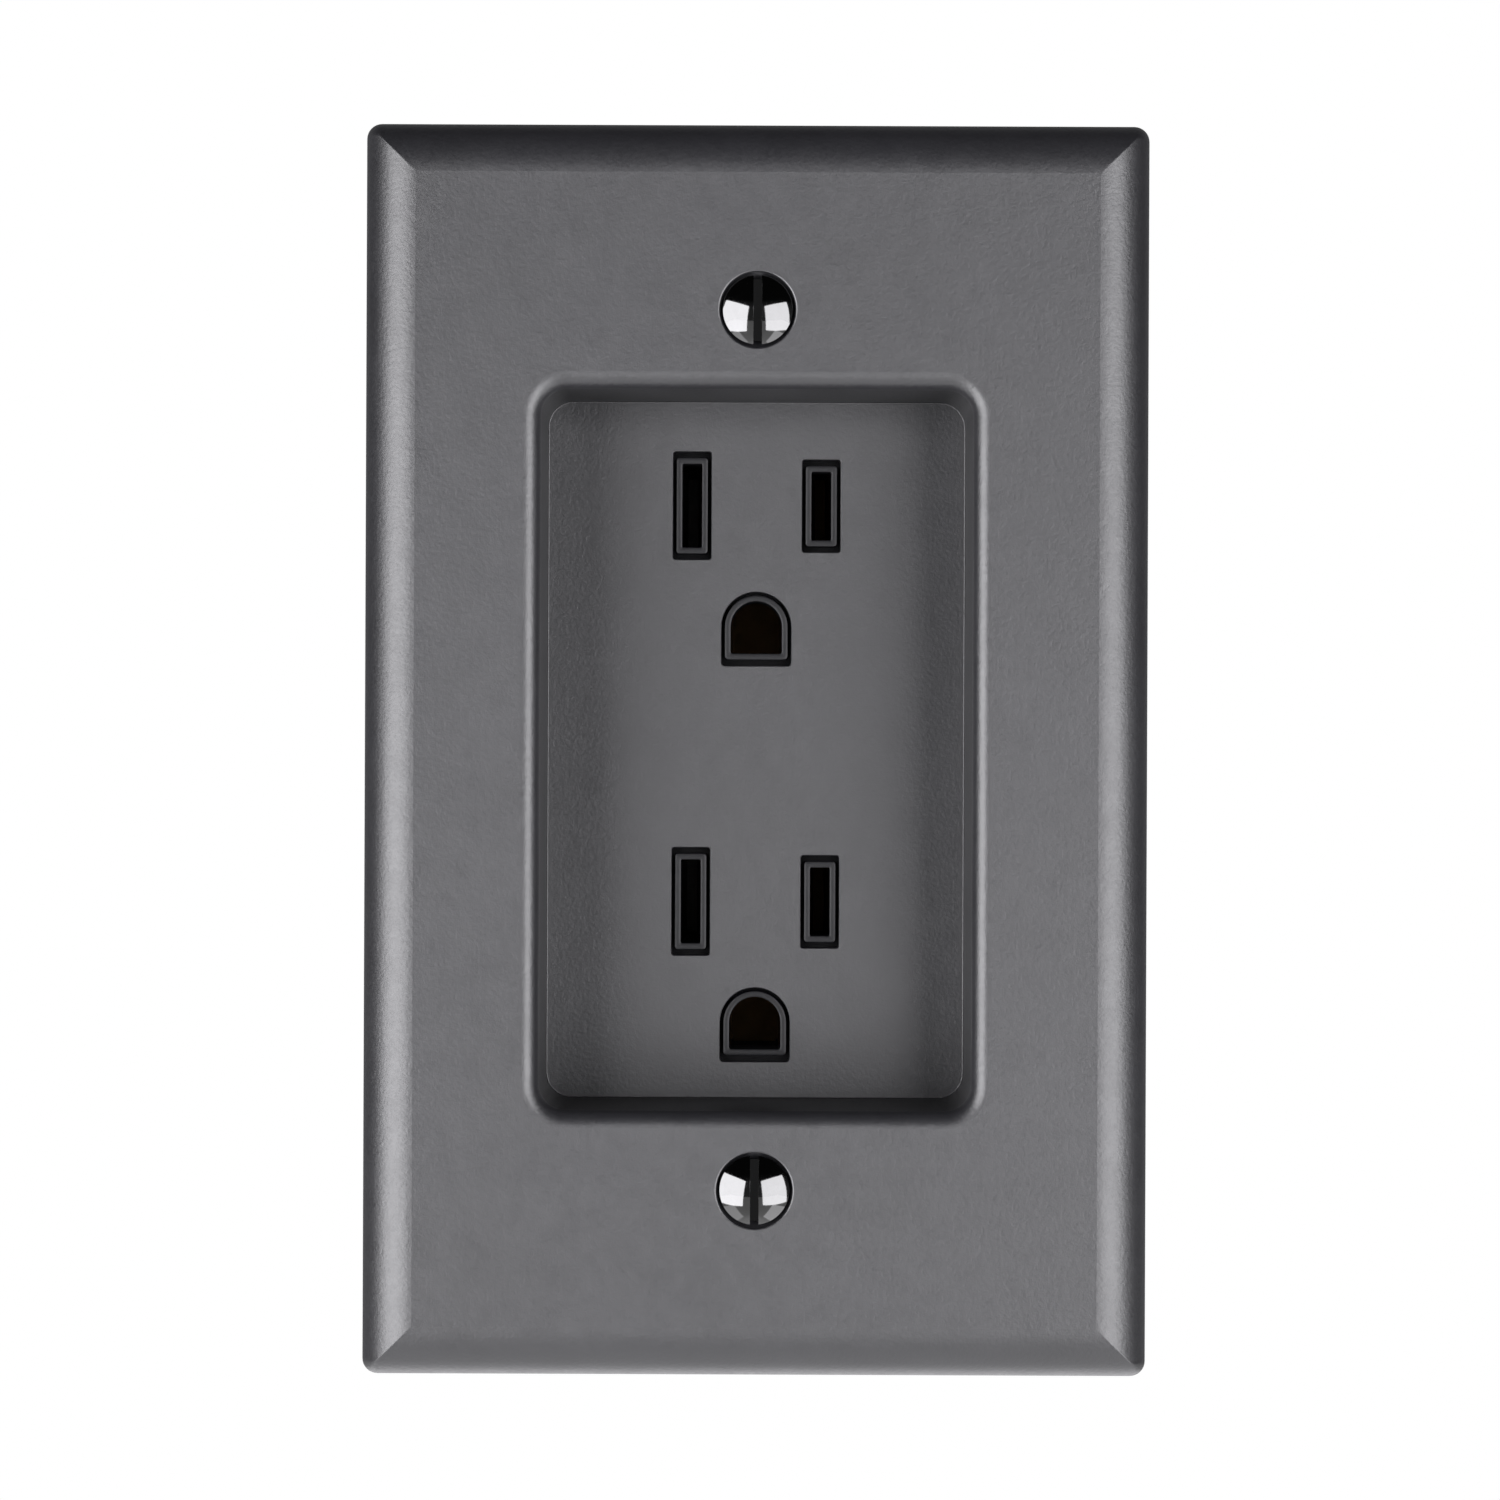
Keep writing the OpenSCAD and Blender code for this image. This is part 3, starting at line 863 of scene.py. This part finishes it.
class ThreadTree:
    """Geometry Nodes that cut a screw thread round a rod standing on the Z axis."""

    FLOATS = ("Length", "Pitch", "Crest", "Root", "Runout")
    COUNTS = ("Around", "Rows")
    RUNOUT = 0.5
    ROWS_PER_TURN = 10

    def __init__(self) -> None:
        """Builds the tree."""
        self.tree = bpy.data.node_groups.new("screw_thread", "GeometryNodeTree")
        face = self.tree.interface
        face.new_socket("Geometry", in_out="INPUT", socket_type="NodeSocketGeometry")
        kinds = dict.fromkeys(self.FLOATS, "Float") | dict.fromkeys(self.COUNTS, "Int") | {"Material": "Material"}
        self.ids: dict[str, str] = {}
        for name, kind in kinds.items():
            self.ids[name] = face.new_socket(name, in_out="INPUT", socket_type=f"NodeSocket{kind}").identifier
        face.new_socket("Geometry", in_out="OUTPUT", socket_type="NodeSocketGeometry")
        self._wire(NodeBench(self.tree))

    def _wire(self, bench: NodeBench) -> None:
        """Wires the nodes: a cylinder whose radius follows a triangle wave wound round it.

        Args:
            bench: the tree's bench.
        """
        given = bench.add("NodeGroupInput").outputs
        sizes = {"Vertices": given["Around"], "Side Segments": given["Rows"], "Radius": 1.0, "Depth": given["Length"]}
        rod = bench.add("GeometryNodeMeshCylinder", sizes)
        at = bench.add("ShaderNodeSeparateXYZ", {0: bench.add("GeometryNodeInputPosition").outputs[0]}).outputs
        turned = bench.math("DIVIDE", bench.math("ARCTAN2", at["Y"], at["X"]), 2 * math.pi)
        phase = bench.math("FRACT", bench.math("SUBTRACT", bench.math("DIVIDE", at["Z"], given["Pitch"]), turned))
        wave = bench.math("SUBTRACT", 1.0, bench.math("ABSOLUTE", bench.math("MULTIPLY_ADD", phase, 2.0, -1.0)))
        flat = bench.ramp(wave, 0.12, 0.88)
        half = bench.math("MULTIPLY", given["Length"], 0.5)
        left = bench.math("SUBTRACT", half, bench.math("ABSOLUTE", at["Z"]))
        ends = bench.ramp(bench.math("DIVIDE", left, given["Runout"]), 0.0, 1.0)
        depth = bench.math("SUBTRACT", given["Crest"], given["Root"])
        radius = bench.math("ADD", given["Root"], bench.math("MULTIPLY", bench.math("MULTIPLY", flat, ends), depth))
        x, y = (bench.math("MULTIPLY", at[axis], radius) for axis in "XY")
        spot = bench.add("ShaderNodeCombineXYZ", {0: x, 1: y, 2: at["Z"]}).outputs[0]
        cut = bench.add("GeometryNodeSetPosition", {"Geometry": rod.outputs["Mesh"], "Position": spot})
        lift = bench.add("ShaderNodeCombineXYZ", {2: half}).outputs[0]
        stood = bench.add("GeometryNodeTransform", {"Geometry": cut.outputs[0], "Translation": lift})
        real = bench.add("GeometryNodeRealizeInstances", {0: stood.outputs[0]})
        dressed = bench.add("GeometryNodeSetMaterial", {"Geometry": real.outputs[0], "Material": given["Material"]})
        bench.add("NodeGroupOutput", {0: dressed.outputs[0]})

    def rod(
        self, low: float, high: float, crest: float, root: float, finish: Finish, around: int = 36
    ) -> PIECE:
        """Makes one threaded rod.

        Args:
            low: height of its lower end, in mm.
            high: height of its upper end, in mm.
            crest: radius over the crests, in mm.
            root: radius at the bottom of the thread, in mm.
            finish: its finish.
            around: points round the rod.

        Returns:
            The rod, as a plain mesh.
        """
        piece = linked("threaded_rod", bpy.data.meshes.new("threaded_rod"))
        tool = piece.modifiers.new("thread", "NODES")
        tool.node_group = self.tree
        given = {
            "Length": (high - low) * MM,
            "Pitch": PITCH * MM,
            "Crest": crest * MM,
            "Root": root * MM,
            "Runout": self.RUNOUT * MM,
            "Around": around,
            "Rows": max(6, round((high - low) / PITCH * self.ROWS_PER_TURN)),
            "Material": finish.material(),
        }
        for name, value in given.items():
            tool[self.ids[name]] = value
        baked(piece)
        piece.data.transform(Matrix.Translation((0, 0, low * MM)))
        return piece


def outward(axis: POINT, spot: POINT) -> Matrix:
    """Where a screw stands whose own Z axis points out of its hole.

    Args:
        axis: the direction the head faces.
        spot: the point, in mm, where its own origin goes.

    Returns:
        The placing matrix, in metres.
    """
    z = Vector(axis)
    up = Vector((0, 0, 1))
    x = up.cross(z).normalized()
    y = z.cross(x)
    turn = Matrix((x, y, z)).transposed().to_4x4()
    return Matrix.Translation(Vector(spot) * MM) @ turn


@dataclass
class MountingScrew:
    """A slotted oval-head screw with a neck for its washer; sizes in mm, height 0 at the head's rim."""

    node: str
    height: float
    seat_y: float = -5.2894
    head_r: float = 3.3
    dome: float = 1.1
    land: float = 0.1
    shank_r: float = 1.745
    root_r: float = 1.34
    neck_r: float = 1.5
    neck_front: float = 3.7
    neck_back: float = 4.9
    tip_y: float = 19.8
    tip_r: float = 1.15
    slot_w: float = 0.82
    slot_ease: float = 0.09
    slot_floor: float = -0.4

    def build(self, threads: ThreadTree) -> PIECE:
        """Builds the screw.

        Args:
            threads: the thread maker.

        Returns:
            The screw in its place.
        """
        rise = self.dome - self.land
        big = (self.head_r**2 + rise**2) / (2 * rise)
        span = math.asin(self.head_r / big)
        cone = (self.head_r - self.shank_r) / SINK_SLOPE
        front, back = self.seat_y - self.neck_front, self.seat_y - self.neck_back
        tip = self.seat_y - self.tip_y
        steps = 28
        turns = [span * i / steps for i in range(steps + 1)]
        profile = [(big * math.sin(a), self.dome - big * (1 - math.cos(a))) for a in turns]
        root, neck = self.root_r, self.neck_r
        profile += [(self.head_r, 0.04), (self.head_r - 0.05, -0.02), (self.shank_r, -cone), (root, -cone - 0.35)]
        profile += [(root, front + 0.3), (neck, front), (neck, back), (root, back - 0.2)]
        profile += [(root, tip + 0.25), (self.tip_r, tip), (0, tip)]
        body = lathe("head", profile, 96)
        half = self.slot_w / 2
        carve(body, brick("slot", (-half, -6, self.slot_floor), (half, 6, 3)))
        self._ease_slot(body)
        rods = [
            threads.rod(low, high, self.shank_r, root, CHROME)
            for low, high in ((front + 0.02, -cone - 0.1), (tip + 0.12, back - 0.02))
        ]
        piece = weld(self.node + "_turned", [body, *rods], outward((0, -1, 0), (0, self.seat_y, self.height)))
        CHROME.dress_both(piece, SHANK, lambda centre: centre.y > (self.seat_y + cone * 0.9) * MM)
        return piece

    def _ease_slot(self, head: PIECE) -> None:
        """Breaks the long edges where the slot meets the dome.

        Args:
            head: the head, with its slot cut.
        """
        bm = bmesh.new()
        bm.from_mesh(head.data)
        bmesh.ops.remove_doubles(bm, verts=bm.verts, dist=1e-7)
        side = self.slot_w / 2 * MM
        floor = self.slot_floor * MM
        edges = []
        for edge in bm.edges:
            a, b = (v.co for v in edge.verts)
            on_side = all(abs(abs(spot.x) - side) < 2e-7 for spot in (a, b))
            above = min(a.z, b.z) > floor + 1e-5
            sharp = edge.calc_face_angle(0.0) > math.radians(50)
            if on_side and above and sharp and abs(a.z - b.z) < abs(a.y - b.y):
                edges.append(edge)
        ease = self.slot_ease * MM
        bmesh.ops.bevel(bm, geom=edges, offset=ease, segments=2, profile=0.5, affect="EDGES", clamp_overlap=True)
        bm.to_mesh(head.data)
        bm.free()


@dataclass
class TerminalScrew:
    """A slotted binding-head screw of a side terminal; sizes in mm, height 0 at the middle plane."""

    node: str
    side: int
    height: float
    finish: Finish
    depth: float = 27.5
    tip: float = 10.5
    tip_r: float = 1.35
    seat: float = 15.7
    head_r: float = 4.05
    top: float = 17.9
    shank_r: float = 2.04
    root_r: float = 1.62
    slot_w: float = 1.2
    slot_floor: float = 16.8

    def build(self, threads: ThreadTree) -> PIECE:
        """Builds the screw.

        Args:
            threads: the thread maker.

        Returns:
            The screw in its place.
        """
        head, seat, tip = self.head_r, self.seat, self.tip
        dome = ((0, 0), (0.45, 0.05), (0.72, 0.22), (0.88, 0.48), (0.97, 0.85), (1, 1.15))
        crown = [(head * share, self.top - drop) for share, drop in dome]
        under = [(head, seat + 0.2), (head - 0.15, seat), (head * 0.62, seat + 0.05)]
        stem = [(self.root_r, seat + 0.05), (self.root_r, tip + 0.3), (self.tip_r, tip), (0, tip)]
        body = lathe("head", crown + under + stem, 72)
        half = self.slot_w / 2
        carve(body, brick("slot", (-6, -half, self.slot_floor), (6, half, self.top + 2)))
        rod = threads.rod(tip + 0.1, seat + 0.1, self.shank_r, self.root_r, self.finish, 32)
        piece = weld(self.node + "_turned", [body, rod], outward((self.side, 0, 0), (0, self.depth, self.height)))
        self.finish.dress(piece)
        return piece


@dataclass
class GroundScrew:
    """The slotted hexagon-head screw of the ground terminal; sizes in mm, height 0 at the middle plane."""

    node: str = "ground_screw"
    spot: tuple[float, float] = (31.5, -24.0)
    tip: float = 14.0
    tip_r: float = 1.35
    seat: float = 19.8
    top: float = 22.0
    across: float = 8.0
    shank_r: float = 2.04
    root_r: float = 1.62

    def build(self, threads: ThreadTree) -> PIECE:
        """Builds the screw.

        Args:
            threads: the thread maker.

        Returns:
            The screw in its place.
        """
        seat, top, root, tip = self.seat, self.top, self.root_r, self.tip
        point_r = self.across / math.sqrt(3)
        body = lathe("hexagon", [(0, seat), (point_r, seat), (point_r, top), (0, top)], 6)
        round_r = self.across / 2 * 1.09
        low, high = round_r - 0.25, round_r + 0.25
        trim = [(0, seat), (low, seat), (high, seat + 0.28), (high, top - 0.5), (round_r - 0.35, top), (0, top)]
        carve(body, lathe("trim", trim, 72), "INTERSECT")
        carve(body, brick("slot", (-6, -0.6, top - 1.1), (6, 0.6, top + 2)))
        stem = lathe("stem", [(0, seat + 0.2), (root, seat + 0.2), (root, tip + 0.3), (self.tip_r, tip), (0, tip)], 40)
        rod = threads.rod(tip + 0.1, seat + 0.1, self.shank_r, root, GREEN, 32)
        piece = weld(self.node + "_turned", [body, stem, rod], outward((-1, 0, 0), (0, *self.spot)))
        GREEN.dress(piece)
        return piece


# --- pieces eased from the solids


@dataclass
class Softened:
    """A stamped or moulded piece taken from its solid, with its edges eased."""

    node: str
    finish: Finish
    ease: float
    name: str
    segments: int = 2
    sharp: float = 40.0

    def build(self) -> PIECE:
        """Copies the solid's mesh, merges it and rounds its edges.

        Returns:
            The piece.
        """
        sharp = math.radians(self.sharp)
        bm = bmesh.new()
        bm.from_mesh(frame["nodes"][self.node].data)
        bmesh.ops.remove_doubles(bm, verts=bm.verts, dist=2e-6)
        bmesh.ops.dissolve_limit(bm, angle_limit=math.radians(0.8), verts=bm.verts, edges=bm.edges)
        for face in bm.faces:
            face.smooth = True
        for edge in bm.edges:
            edge.smooth = edge.calc_face_angle(0.0) < sharp
        piece = meshed(self.name, bm)
        tool = piece.modifiers.new("ease", "BEVEL")
        tool.width = self.ease * MM
        tool.segments = self.segments
        tool.limit_method = "ANGLE"
        tool.angle_limit = sharp
        tool.use_clamp_overlap = True
        tool.harden_normals = True
        baked(piece)
        self.finish.dress(piece)
        return piece


# --- studio and assembly


@dataclass(frozen=True)
class Softbox:
    """A lit panel that looks at the object.

    Attributes:
        name: its name.
        azimuth: degrees from the camera's side round to the right.
        elevation: degrees above the horizon.
        distance: metres from the object.
        size: width and height, in metres.
        glow: its brightness.
        roll: degrees it is turned about the line to the object.
    """

    name: str
    azimuth: float
    elevation: float
    distance: float
    size: tuple[float, float]
    glow: float
    roll: float = 0.0

    def hang(self) -> None:
        """Makes the panel's light."""
        data = bpy.data.lights.new(self.name, "AREA")
        data.shape = "RECTANGLE"
        data.size, data.size_y = self.size
        data.energy = self.glow * math.pi * self.size[0] * self.size[1]
        data.color = (1.0, 0.992, 1.022)
        a, e = math.radians(self.azimuth), math.radians(self.elevation)
        back = Vector((math.sin(a) * math.cos(e), -math.cos(a) * math.cos(e), math.sin(e)))
        lamp = linked(self.name, data)
        lamp.location = back * self.distance
        turn = back.to_track_quat("Z", "Y") @ Quaternion((0, 0, 1), math.radians(self.roll))
        lamp.rotation_euler = turn.to_euler()


@dataclass
class Studio:
    """The camera, the lights, the floor and the white surroundings."""

    distance: float = 0.430
    frame_width: float = 0.14184
    plate_front: float = -0.0056
    aim_x: float = -0.00057
    aim_z: float = 0.0
    lean: float = math.radians(-0.228)
    sensor: float = 36.0
    floor_z: float = -1500.0
    floor_half: float = 5000.0
    floor_glow: float = 0.64
    softboxes: tuple[Softbox, ...] = (
        Softbox("left_softbox", -44.5, -6.5, 1.25, (1.17, 1.16), 6.9, -13),
        Softbox("right_softbox", 38.0, -7, 1.25, (1.07, 1.10), 6.0, 10),
        Softbox("left_low_softbox", -66, -46, 1.25, (1.0, 0.62), 1.1),
        Softbox("right_low_softbox", 62, -46, 1.25, (1.0, 0.62), 1.5),
        Softbox("back_low_softbox", 180, -48, 1.4, (1.6, 0.9), 1.6),
        Softbox("back_softbox", 180, 0, 1.9, (1.0, 1.0), 3.6),
    )

    def camera(self) -> None:
        """Sets up the camera, square on to the plate."""
        data = bpy.data.cameras.new("camera")
        data.sensor_width = self.sensor
        data.lens = self.sensor * self.distance / self.frame_width
        data.clip_start = 0.01
        eye = linked("camera", data)
        eye.location = (self.aim_x, self.plate_front - self.distance, self.aim_z)
        eye.rotation_euler = (math.pi / 2, self.lean, 0)
        bpy.context.scene.camera = eye

    def floor_light(self) -> None:
        """Lights the floor from just below the object's level, so that it stays pale from every side."""
        data = bpy.data.lights.new("floor_light", "AREA")
        data.shape = "SQUARE"
        data.size = 12.0
        data.energy = self.floor_glow * math.pi * data.size**2
        linked("floor_light", data).location = (0, 0, -1.0)

    def surroundings(self) -> None:
        """Makes the white surroundings that the camera sees and the dim, graded light they give."""
        world = bpy.data.worlds.new("surroundings")
        bpy.context.scene.world = world
        world.use_nodes = True
        world.node_tree.nodes.clear()
        bench = NodeBench(world.node_tree)
        way = bench.add("ShaderNodeSeparateXYZ", {0: bench.add("ShaderNodeTexCoord").outputs["Generated"]}).outputs
        up = bench.ramp(way["Z"], 0.08, 0.36, 0.10, 0.01)
        behind = bench.ramp(way["Y"], 0.0, 0.25, 1.0, 0.08)
        rear = bench.ramp(way["Y"], 0.45, 0.80, 0.0, 0.38)
        strength = bench.math("MULTIPLY_ADD", up, behind, rear)
        dim = bench.add("ShaderNodeBackground", {"Color": (0.97, 0.98, 1.0, 1.0), "Strength": strength})
        white = bench.add("ShaderNodeBackground", {"Color": (1, 1, 1, 1), "Strength": 1.0})
        seen = bench.add("ShaderNodeLightPath").outputs["Is Camera Ray"]
        both = bench.add("ShaderNodeMixShader", {0: seen, 1: dim.outputs[0], 2: white.outputs[0]})
        bench.add("ShaderNodeOutputWorld", {0: both.outputs[0]})

    def floor(self) -> None:
        """Lays the pale floor well below the object."""
        half = self.floor_half
        corners = ((half, half), (-half, half), (-half, -half), (half, -half))
        shell = Shell()
        first, last = shell.stack([[(x, y, z) for x, y in corners] for z in (self.floor_z, self.floor_z - 20)])
        shell.fill([first], (0, 0, 1))
        shell.fill([last], (0, 0, -1))
        slab = shell.finish("floor")
        FLOOR_PAINT.dress(slab)

    def build(self) -> None:
        """Sets up everything round the object."""
        self.camera()
        for box in self.softboxes:
            box.hang()
        self.floor_light()
        self.surroundings()
        self.floor()
        bpy.context.scene.view_settings.view_transform = "Standard"


def seat(piece: PIECE, node: str, slot: str) -> None:
    """Lets a piece stand for a node: it rides on the node's body.

    Args:
        piece: the piece.
        node: the node it stands for.
        slot: the record's material slot; not used.
    """
    bodies = frame["record"]["behaviour"]["bodies"]
    body = next(name for name, nodes in bodies.items() if node in nodes)
    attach(piece, body)
    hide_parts(node)
    LOG.info("%s stands for %s and has %d faces", piece.name, node, len(piece.data.polygons))


def soften(node: str, finish: Finish, ease: float, name: str, slot: str) -> None:
    """Builds the eased copy of a node and lets it stand for the node."""
    seat(Softened(node, finish, ease, name).build(), node, slot)


def main() -> None:
    """Builds the receptacle and its studio."""
    logging.basicConfig(level=logging.INFO, format="%(name)s: %(message)s")
    seat(FacePlate().build(), "face_plate", "plate_plastic")
    seat(OutletFace().build(), "outlet_face", "face_plastic")
    threads = ThreadTree()
    for end, height in (("top", SCREW_Z), ("bottom", -SCREW_Z)):
        screw = MountingScrew(f"mounting_screw_{end}", height)
        seat(screw.build(threads), screw.node, "chrome_screw")
    for end, height in (("upper", TERMINAL_Z), ("lower", -TERMINAL_Z)):
        hot = TerminalScrew(f"hot_screw_{end}", 1, height, BRASS_TURNED)
        neutral = TerminalScrew(f"neutral_screw_{end}", -1, height, NICKEL_TURNED)
        seat(hot.build(threads), hot.node, "brass_screw")
        seat(neutral.build(threads), neutral.node, "nickel_screw")
        soften(f"hot_clamp_{end}", BRASS, 0.15, f"hot_wire_clamp_{end}", "contact_brass")
        soften(f"neutral_clamp_{end}", NICKEL, 0.15, f"neutral_wire_clamp_{end}", "nickel_plate")
    seat(GroundScrew().build(threads), "ground_screw", "green_screw")
    soften("ground_clamp", ZINC, 0.15, "ground_wire_clamp", "strap_steel")
    soften("rear_housing", HOUSING, 0.25, "contact_housing", "housing_plastic")
    soften("mounting_strap", ZINC, 0.2, "steel_strap", "strap_steel")
    soften("hot_bus", BRONZE, 0.08, "hot_strip", "contact_brass")
    soften("neutral_bus", TINNED, 0.08, "neutral_strip", "nickel_plate")
    soften("ground_bus", BRONZE, 0.08, "ground_strip", "contact_brass")
    soften("ground_rivet", BRASS, 0.12, "strap_rivet", "contact_brass")
    soften("housing_screws", CASE_STEEL, 0.08, "case_screws", "case_screw_steel")
    for end in ("top", "bottom"):
        soften(f"screw_retainer_{end}", FIBRE, 0.08, f"fibre_washer_{end}", "fibre")
    Studio().build()


if __name__ == "__main__":
    main()
